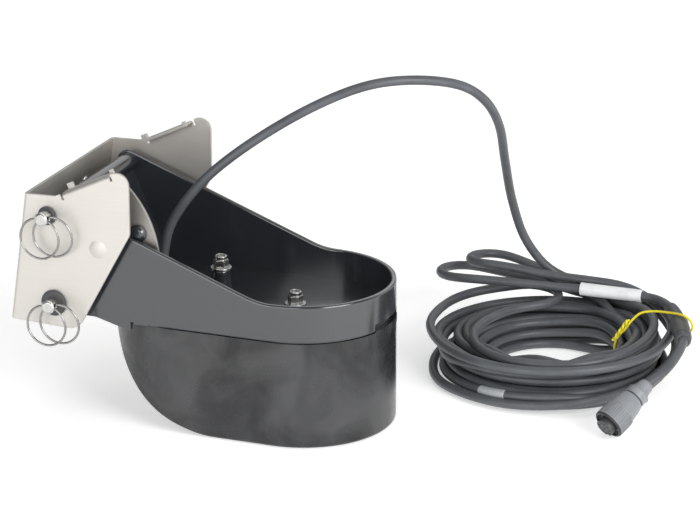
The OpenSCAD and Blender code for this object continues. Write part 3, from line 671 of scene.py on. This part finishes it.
def cable_line(d, loose, seed, steps):
    """Centre line of the whole cable in millimetres, from the gland to the plug."""
    ring = stacked_turns(loose, seed)
    out = smooth_line(RUN_OUT, RUN_GAP)
    below = smooth_line(RUN_OUT[-1:] + first_turn() + [ring[0], ring[2]], TURN_GAP)
    above = smooth_line([ring[-3], ring[-1]] + loose_turns() + RUN_IN[:1], TURN_GAP)
    coil = even_line(np.vstack([below[:-1], np.array(ring[2:-3]), above]), COIL_GAP)
    tail = smooth_line(RUN_IN, RUN_GAP)
    line = np.vstack([out[:-1], coil, tail[1:]])
    start = len(out) - 1
    end = start + len(coil)
    free = np.zeros((len(line), 1), bool)
    free[start + 2:end - 3] = True
    hold = np.full((len(line), 1), WEAK_HOLD)
    loops = int(steps_of(above).sum() / COIL_GAP)
    hold[end - loops:] = FIRM_HOLD
    hold[start:start + int(len(below) * FIRM_SHARE)] = FIRM_HOLD
    return settle(line, free, hold, d, steps)


# Pieces on the cable: shapes are (share of the length, radius) pairs, in metres

TAPE_SHAPE = [(0.0, 0.0036), (0.02, 0.0039), (0.98, 0.0039), (1.0, 0.0036)]
TAPE_REACH = 2                  # points of the cable on each side of the tape's middle
TAPE_GAP = 0.0007
JOINT_SHAPE = [
    (0.0, 0.0046), (0.015, 0.0052), (0.1, 0.0055), (0.36, 0.006), (0.40, 0.0069), (0.425, 0.0070),
    (0.43, 0.0060), (0.45, 0.0060), (0.455, 0.0070), (0.48, 0.0071), (0.90, 0.0066), (0.905, 0.0057),
    (0.93, 0.0057), (0.935, 0.0064), (0.98, 0.0062), (1.0, 0.0050),
]
JOINT_FROM = (0.2215, 0.194, LAY * MM)
JOINT_TO = (0.2495, 0.125, (LAY + 1.6) * MM)
# The tie's way round the coil: radius, height and azimuth of each point, in millimetres and degrees
TIE_HOOP = [
    (50.3, 7.5, 23), (48.2, 15, 23), (48.8, 24.5, 23), (55.5, 33, 23), (61, 41, 22), (67, 46.5, 21),
    (76, 49.5, 17.5), (86, 51.5, 12.5), (95, 53.3, 8), (101.5, 53.4, 5), (106.5, 49.5, 4), (106.6, 44.5, 4),
    (101.5, 37.5, 6), (97, 28, 9), (95.5, 19, 10), (91.5, 10, 12), (85, 3.6, 14), (79, 1.5, 16),
    (67, 1.1, 19), (56, 1.7, 21.5),
]
TIE_AT = 23.0                   # azimuth of its two twisted ends, in degrees
TIE_WIRE = 0.00095              # radius of its wire, in metres
END_FROM = (57.5, 40)           # radius and height at which its ends begin, in millimetres,
END_STEP = (0.75, 1.15)         # how far they go inwards and down from point to point,
END_POINTS = 15                 # of so many points,
END_TWIST = 0.9                 # their turn round each other from point to point, in radians,
END_SWAY = (1.2, 0.9)           # and its width, in degrees about the coil and in millimetres of radius
FINE_GAP = 2.0                  # distance between the points of the joint's path and of the hoop,
JOINT_GAP = 0.4                 # of the joint itself
END_GAP = 1.2                   # and of the tie's ends, in millimetres


def twisted_end(side):
    """One end of the tie, which leans inwards and winds round the other; side is its start angle."""
    points = []
    for k in range(END_POINTS):
        twist = k * END_TWIST + side
        azimuth = TIE_AT + END_SWAY[0] * math.sin(twist)
        radius = END_FROM[0] - END_STEP[0] * k + END_SWAY[1] * math.cos(twist)
        points.append(polar(azimuth, radius, END_FROM[1] - END_STEP[1] * k))
    return smooth_line(points, END_GAP)


# Tray, studs, rings and stage, in metres and degrees

RIM_UP = 0.009                  # edges higher than this above the tray's floor belong to its rim
STUDS = ((-0.007, 0.0929), (-0.065, 0.1132))    # X of each stud and the height of its top
THREAD_RADIUS = 0.00298
THREAD_DEPTH = 0.0005
THREAD_PITCH = 0.001
THREAD_SIDES = 28
THREAD_LAYERS = 6               # rings of points in one pitch
TOP_CHAMFER = 0.0009
DIMPLE_RIM = 0.0018             # radius of the dimple in the top of a stud,
DIMPLE_FOOT = 0.0015            # that of its foot
DIMPLE_DEPTH = 0.0012           # and its depth
ANCHOR_RADIUS = 0.00577         # corner radius of the hexagon at the foot of a stud,
ANCHOR_HEIGHT = 0.005           # and its height
RING_SOLID = 0.00095            # radius of the wire of a ring in the solids,
RING_WIRE = 0.00085             # and that of its two coils here
RING_COILS = ((9.0, 0.0, -0.0008), (-27.0, 4.0, 0.0008))    # swing, tilt and shift of each coil
RING_STEPS = 72
RING_EASE = 12                  # points in which one coil goes over into the other
CAMERA_TARGET = (0.0351, 0.0, 0.1216)
LIT_POINT = (0.02, 0.05, 0.1)
FLOOR_SIZE = 6.0
FLOOR_DROP = 0.0004
GLOW_NEAR = 0.8                 # the floor glows more from this distance from the origin,
GLOW_FAR = 2.2                  # and fully from this one
# Name, place, size and power of each light
LIGHTS = (
    ("overhead_softbox", (0.1, 0.1, 1.9), 1.6, 6.0),
    ("front_softbox", (-0.3, -2.2, 0.5), 2.0, 30.0),
    ("side_softbox", (1.7, -0.9, 0.9), 1.2, 34.0),
    ("back_softbox", (-0.4, 1.7, 1.2), 1.2, 4.0),
    ("aft_softbox", (1.2, 1.5, 1.1), 1.2, 5.0),
)


# Operators

class SONAR_OT_stage(Operator):
    """Camera at the photograph's angle, pale floor and soft studio light"""
    bl_idname = "sonar.stage"
    bl_label = "Studio stage"

    def execute(self, context):
        s = context.scene.transducer_stage
        level = math.cos(s.elevation)
        back = Vector((math.sin(s.azimuth) * level, -math.cos(s.azimuth) * level, math.sin(s.elevation)))
        data = bpy.data.cameras.new("photo_camera")
        data.sensor_fit = "HORIZONTAL"
        data.sensor_width = 36.0
        data.lens = s.lens
        data.clip_start = 0.05
        data.clip_end = 50.0
        camera = add_object("photo_camera", data)
        camera.location = Vector(CAMERA_TARGET) + back * s.distance
        camera.rotation_euler = (-back).to_track_quat("-Z", "Y").to_euler()
        context.scene.camera = camera

        bm = bmesh.new()
        bmesh.ops.create_grid(bm, x_segments=8, y_segments=8, size=FLOOR_SIZE)
        bmesh.ops.translate(bm, verts=bm.verts[:], vec=(0, 0, -FLOOR_DROP))
        floor = mesh_object("studio_floor", bm)
        f = Finish("pale_floor")
        base = tuple(s.floor)
        f.set(Emission_Color=(1.0, 1.0, 1.0, 1.0))
        away = f.tree.nodes.new("ShaderNodeVectorMath")
        away.operation = "LENGTH"
        f.tree.links.new(f.place, away.inputs[0])
        glow = f.spread(away.outputs["Value"], s.floor_glow, 1.0, GLOW_NEAR, GLOW_FAR)
        f.tree.links.new(glow, f.shader.inputs["Emission Strength"])
        tone = f.tint(f.spread(f.noise(3.0, 3.0), 0.0, 1.0), shade(base, 0.99), base)
        floor.data.materials.append(f.join(tone, f.spread(f.noise(40.0), 0.75, 0.85)))

        world = bpy.data.worlds.new("white_surround")
        world.use_nodes = True
        world.node_tree.nodes["Background"].inputs["Color"].default_value = (1.0, 1.0, 1.0, 1.0)
        world.node_tree.nodes["Background"].inputs["Strength"].default_value = s.ambient
        context.scene.world = world
        context.scene.view_settings.view_transform = "Standard"
        for name, place, size, power in LIGHTS:
            light = bpy.data.lights.new(name, "AREA")
            light.energy = power
            light.size = size
            obj = add_object(name, light)
            obj.location = place
            obj.rotation_euler = (Vector(LIT_POINT) - Vector(place)).to_track_quat("-Z", "Y").to_euler()
        return {"FINISHED"}


class SONAR_OT_cable(Operator):
    """The cable from the gland over the coil to the plug, in one length"""
    bl_idname = "sonar.cable"
    bl_label = "Cable and coil"

    def execute(self, context):
        s = context.scene.transducer_cable
        line = cable_line(s.diameter / MM, s.looseness / MM, s.seed, s.steps) * MM
        cable = wire("cable_run", [line], s.diameter / 2, 4)
        jacket = made("cable_jacket", cable_jacket, context.scene.transducer_finish.jacket)
        dress(cable, jacket, "jacket", "transducer", "cable", "cable_coil", "cable_tail")
        cable["run_length"] = float(steps_of(line).sum())
        return {"FINISHED"}


class SONAR_OT_cable_fittings(Operator):
    """Label sleeve, tape marker, joint sleeve and wire tie on the coil"""
    bl_idname = "sonar.cable_fittings"
    bl_label = "Pieces on the cable"

    def execute(self, context):
        finish = context.scene.transducer_finish
        label = made("bare_label", printed_sleeve, finish.label)
        rounded_piece("label_sleeve", "label_wrap", label, "label")

        run = np.array([p.co[:3] for p in bpy.data.objects["cable_run"].data.splines[0].points])
        low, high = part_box("tape_marker")
        middle = nearest(run, [(a + b) / 2 for a, b in zip(low, high)])
        band = even_line(run[middle - TAPE_REACH:middle + TAPE_REACH + 1], TAPE_GAP)
        tape = sleeve("tape_band", band, TAPE_SHAPE)
        dress(tape, made("grey_tape", printed_sleeve, TAPE_GREY), "tape", "transducer", "tape_marker")

        path = even_line(smooth_line(RUN_IN, FINE_GAP), JOINT_GAP) * MM
        first = nearest(path, JOINT_FROM)
        last = nearest(path, JOINT_TO)
        joint = sleeve("joint_shrink", path[first:last + 1], JOINT_SHAPE)
        rubber = made("joint_rubber", moulded, finish.joint, low=0.36, high=0.5,
                      cloud=50.0, span=0.2, grain=0.04)
        dress(joint, rubber, "jacket", "transducer", "joint_sleeve")

        hoop = smooth_line([polar(a, r, z) for r, z, a in TIE_HOOP + TIE_HOOP[:2]], FINE_GAP)
        lines = [hoop, twisted_end(0.0), twisted_end(math.pi)]
        tie = wire("wire_tie", [line * MM for line in lines], TIE_WIRE, 3)
        yellow = made("tie_yellow", moulded, finish.tie, low=0.3, high=0.42,
                      cloud=80.0, span=0.08, grain=0.02)
        dress(tie, yellow, "tie", "transducer", "coil_tie")
        return {"FINISHED"}


class SONAR_OT_plug(Operator):
    """Plug with its fluted coupling ring, insert, contacts and boot"""
    bl_idname = "sonar.plug"
    bl_label = "Plug"

    def execute(self, context):
        finish = context.scene.transducer_finish
        grey = made("plug_grey", moulded, finish.plug, low=0.36, high=0.5,
                    cloud=70.0, span=0.15, grain=0.03)
        dark = made("plug_dark", moulded, shade(finish.plug, INSERT_SHADE), low=0.4, high=0.55,
                    cloud=70.0, span=0.2, grain=0.03)
        # the coupling ring's material carries painted shade on its front, for its hollow bore
        ring = made("coupling_grey", coupling_grey, finish.plug)
        plating = made("contact_plating", bright_steel, CONTACT_PLATING)
        rounded_piece("plug_ring", "coupling_ring", ring, "housing", "coupling", segments=2)
        rounded_piece("plug_shell", "plug_barrel", grey, "housing")
        rounded_piece("plug_insert", "contact_insert", dark, "bush", segments=2)
        rounded_piece("plug_contacts", "contact_pins", plating, "contact", segments=2)
        rounded_piece("plug_boot", "plug_strain_boot", grey, "bush")
        return {"FINISHED"}


class SONAR_OT_body(Operator):
    """Cast body with its elements, holder, resin and probe inside"""
    bl_idname = "sonar.body"
    bl_label = "Transducer body"

    def execute(self, context):
        black = made("body_black", cast_body, context.scene.transducer_finish.body)
        rounded_piece("body_shell", "body_casting", black, "body", width=0.0)
        cork = made("cork", speckled, CORK, span=0.35, scale=420.0, low=0.75, high=0.9, grain=0.5)
        ceramic = made("fired_ceramic", speckled, CERAMIC, span=0.06, scale=300.0,
                       low=0.35, high=0.5, grain=0.08)
        resin = made("resin", speckled, RESIN, span=0.2, scale=60.0, low=0.25, high=0.4, grain=0.05)
        finish_node("element_holder", cork)
        finish_node("ceramic_elements", ceramic)
        finish_node("potting", resin)
        finish_node("temperature_probe", bright())
        return {"FINISHED"}


class SONAR_OT_tray(Operator):
    """Moulded tray with its arms, and the steel plate inside the near arm"""
    bl_idname = "sonar.tray"
    bl_label = "Tray and arm plate"

    def execute(self, context):
        edges = context.scene.transducer_edges
        small = edges.moulding / edges.rim
        rim_height = FLOOR_Z * MM + RIM_UP

        def weight(edge):
            """Inner corners stay sharp, the rim is rounded fully, all other edges less."""
            if edge.calc_face_angle_signed(0.0) < 0.0:
                return 0.0
            return 1.0 if edge.verts[0].co.z + edge.verts[1].co.z > 2 * rim_height else small

        tray = rounded_copy("tray", "tray_moulding", edges.rim, weight)
        dress(tray, tray_black(), "housing", "transducer", "tray")
        # painted shade: the arm plate gets a darker copy of the bracket steel, for its place in the shade
        # inside the tray
        steel = made("plate_steel", sheet_steel, shade(context.scene.transducer_finish.steel, PLATE_PAINTED_SHADE))
        rounded_piece("arm_plate", "arm_liner", steel, "stainless", width=edges.sheet)
        rounded_piece("plate_button", "liner_button", tray_black(), "bush")
        rounded_piece("plate_rivets", "liner_rivets", bright(), "bright")
        return {"FINISHED"}


class SONAR_OT_studs(Operator):
    """Threaded studs with their washers and nuts, and the cable gland"""
    bl_idname = "sonar.studs"
    bl_label = "Studs and gland"

    def execute(self, context):
        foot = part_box("studs")[0][2]
        bm = bmesh.new()

        def circle(x, radius, z, sides):
            around = [2 * math.pi * i / sides for i in range(sides)]
            return [bm.verts.new((x + radius * math.cos(a), radius * math.sin(a), z)) for a in around]

        def wall(lower, upper):
            for i in range(len(lower)):
                j = (i + 1) % len(lower)
                bm.faces.new((lower[i], lower[j], upper[j], upper[i]))

        for x, top in STUDS:
            z = foot + ANCHOR_HEIGHT
            rings = []
            while z < top:
                near_top = max(0.0, z - (top - TOP_CHAMFER))
                ring = []
                for i in range(THREAD_SIDES):
                    phase = (z / THREAD_PITCH - i / THREAD_SIDES) % 1.0
                    groove = THREAD_DEPTH * (1 - abs(2 * phase - 1))
                    r = min(THREAD_RADIUS - groove, THREAD_RADIUS - near_top)
                    a = 2 * math.pi * i / THREAD_SIDES
                    ring.append(bm.verts.new((x + r * math.cos(a), r * math.sin(a), z)))
                rings.append(ring)
                z += THREAD_PITCH / THREAD_LAYERS
            for lower, upper in zip(rings, rings[1:]):
                wall(lower, upper)
            rim = circle(x, DIMPLE_RIM, top, THREAD_SIDES)
            dip = circle(x, DIMPLE_FOOT, top - DIMPLE_DEPTH, THREAD_SIDES)
            wall(rings[-1], rim)
            wall(rim, dip)
            bm.faces.new(dip)
            lower = circle(x, ANCHOR_RADIUS, foot, 6)
            upper = circle(x, ANCHOR_RADIUS, foot + ANCHOR_HEIGHT, 6)
            wall(lower, upper)
            bm.faces.new(lower[::-1])
            bm.faces.new(upper)
            bm.faces.new(rings[0][::-1])
        threads = mesh_object("threaded_studs", bm, smooth=False)
        dress(threads, bright(), "bright", "transducer", "studs")
        rounded_piece("stud_washers", "washers", bright(), "bright")
        rounded_piece("stud_nuts", "hexagon_nuts", bright(), "bright", segments=2)
        rounded_piece("cable_gland", "gland_sleeve", bush_black(), "bush")
        return {"FINISHED"}


class SONAR_OT_bracket(Operator):
    """Folded stainless bracket and the black bushes in its flanges"""
    bl_idname = "sonar.bracket"
    bl_label = "Bracket and bushes"

    def execute(self, context):
        edges = context.scene.transducer_edges
        steel = made("bracket_steel", sheet_steel, context.scene.transducer_finish.steel)
        rounded_piece("transom_bracket", "folded_bracket", steel, "stainless", "bracket", width=0.0)
        rounded_piece("hinge_bushes", "hinge_bush_pair", bush_black(), "bush", "bracket", width=edges.turned)
        rounded_piece("lock_bushes", "lock_bush_pair", bush_black(), "bush", "bracket", width=edges.turned)
        return {"FINISHED"}


class SONAR_OT_release_pins(Operator):
    """Release pins and their two-turn pull rings"""
    bl_idname = "sonar.release_pins"
    bl_label = "Release pins and rings"

    def execute(self, context):
        edges = context.scene.transducer_edges
        for node in ("hinge_pin", "lock_pin"):
            rounded_piece(node, node + "_turned", bright(), "bright", node, width=edges.turned)
        ring_wire = made("ring_wire", bright_steel, context.scene.transducer_finish.ring)
        for node in ("hinge_ring", "lock_ring"):
            low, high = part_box(node)
            middle = Vector([(a + b) / 2 for a, b in zip(low, high)])
            radius = (high[0] - low[0]) / 2 - RING_SOLID
            hook = middle + Vector((0, 0, radius))
            path = []
            for coil, (swing, tilt, shift) in enumerate(RING_COILS):
                about_y = Matrix.Rotation(math.radians(swing), 4, "Y")
                about_x = Matrix.Rotation(math.radians(tilt), 4, "X")
                turn = about_y @ about_x
                for i in range(coil, RING_STEPS + 1):
                    a = 2 * math.pi * i / RING_STEPS
                    ease = min(1.0, min(i, RING_STEPS - i) / RING_EASE)
                    local = Vector((-radius * math.sin(a), 0, radius * math.cos(a) - radius))
                    free_end = i < RING_STEPS - RING_EASE if coil == 0 else i > RING_EASE
                    side = shift if free_end else shift * ease
                    path.append(hook + turn @ local + Vector((0, side, 0)))
            dress(wire(node + "_coil", [path], RING_WIRE, 3), ring_wire, "bright", node, node)
        return {"FINISHED"}


class SONAR_PT_panel(Panel):
    """Lists the steps and the settings of the transducer"""
    bl_label = "Transducer"
    bl_idname = "SONAR_PT_panel"
    bl_space_type = "VIEW_3D"
    bl_region_type = "UI"
    bl_category = "Transducer"

    def draw(self, context):
        for step in STEPS:
            self.layout.operator(step.bl_idname)
        for group, _ in GROUPS:
            owner = getattr(context.scene, group)
            box = self.layout.box()
            for name in owner.__annotations__:
                box.prop(owner, name)


GROUPS = (
    ("transducer_cable", TransducerCableSettings),
    ("transducer_edges", TransducerEdgeSettings),
    ("transducer_finish", TransducerFinishSettings),
    ("transducer_stage", TransducerStageSettings),
)
STEPS = (
    SONAR_OT_stage, SONAR_OT_cable, SONAR_OT_cable_fittings, SONAR_OT_plug, SONAR_OT_body, SONAR_OT_tray,
    SONAR_OT_studs, SONAR_OT_bracket, SONAR_OT_release_pins,
)


def register():
    for name, group in GROUPS:
        bpy.utils.register_class(group)
        setattr(bpy.types.Scene, name, PointerProperty(type=group))
    for step in STEPS:
        bpy.utils.register_class(step)
    bpy.utils.register_class(SONAR_PT_panel)


def unregister():
    bpy.utils.unregister_class(SONAR_PT_panel)
    for step in reversed(STEPS):
        bpy.utils.unregister_class(step)
    for name, group in reversed(GROUPS):
        delattr(bpy.types.Scene, name)
        bpy.utils.unregister_class(group)


def main():
    register()
    bpy.ops.sonar.stage()
    bpy.ops.sonar.cable()
    bpy.ops.sonar.cable_fittings()
    bpy.ops.sonar.plug()
    bpy.ops.sonar.body()
    bpy.ops.sonar.tray()
    bpy.ops.sonar.studs()
    bpy.ops.sonar.bracket()
    bpy.ops.sonar.release_pins()


if __name__ == "__main__":
    main()
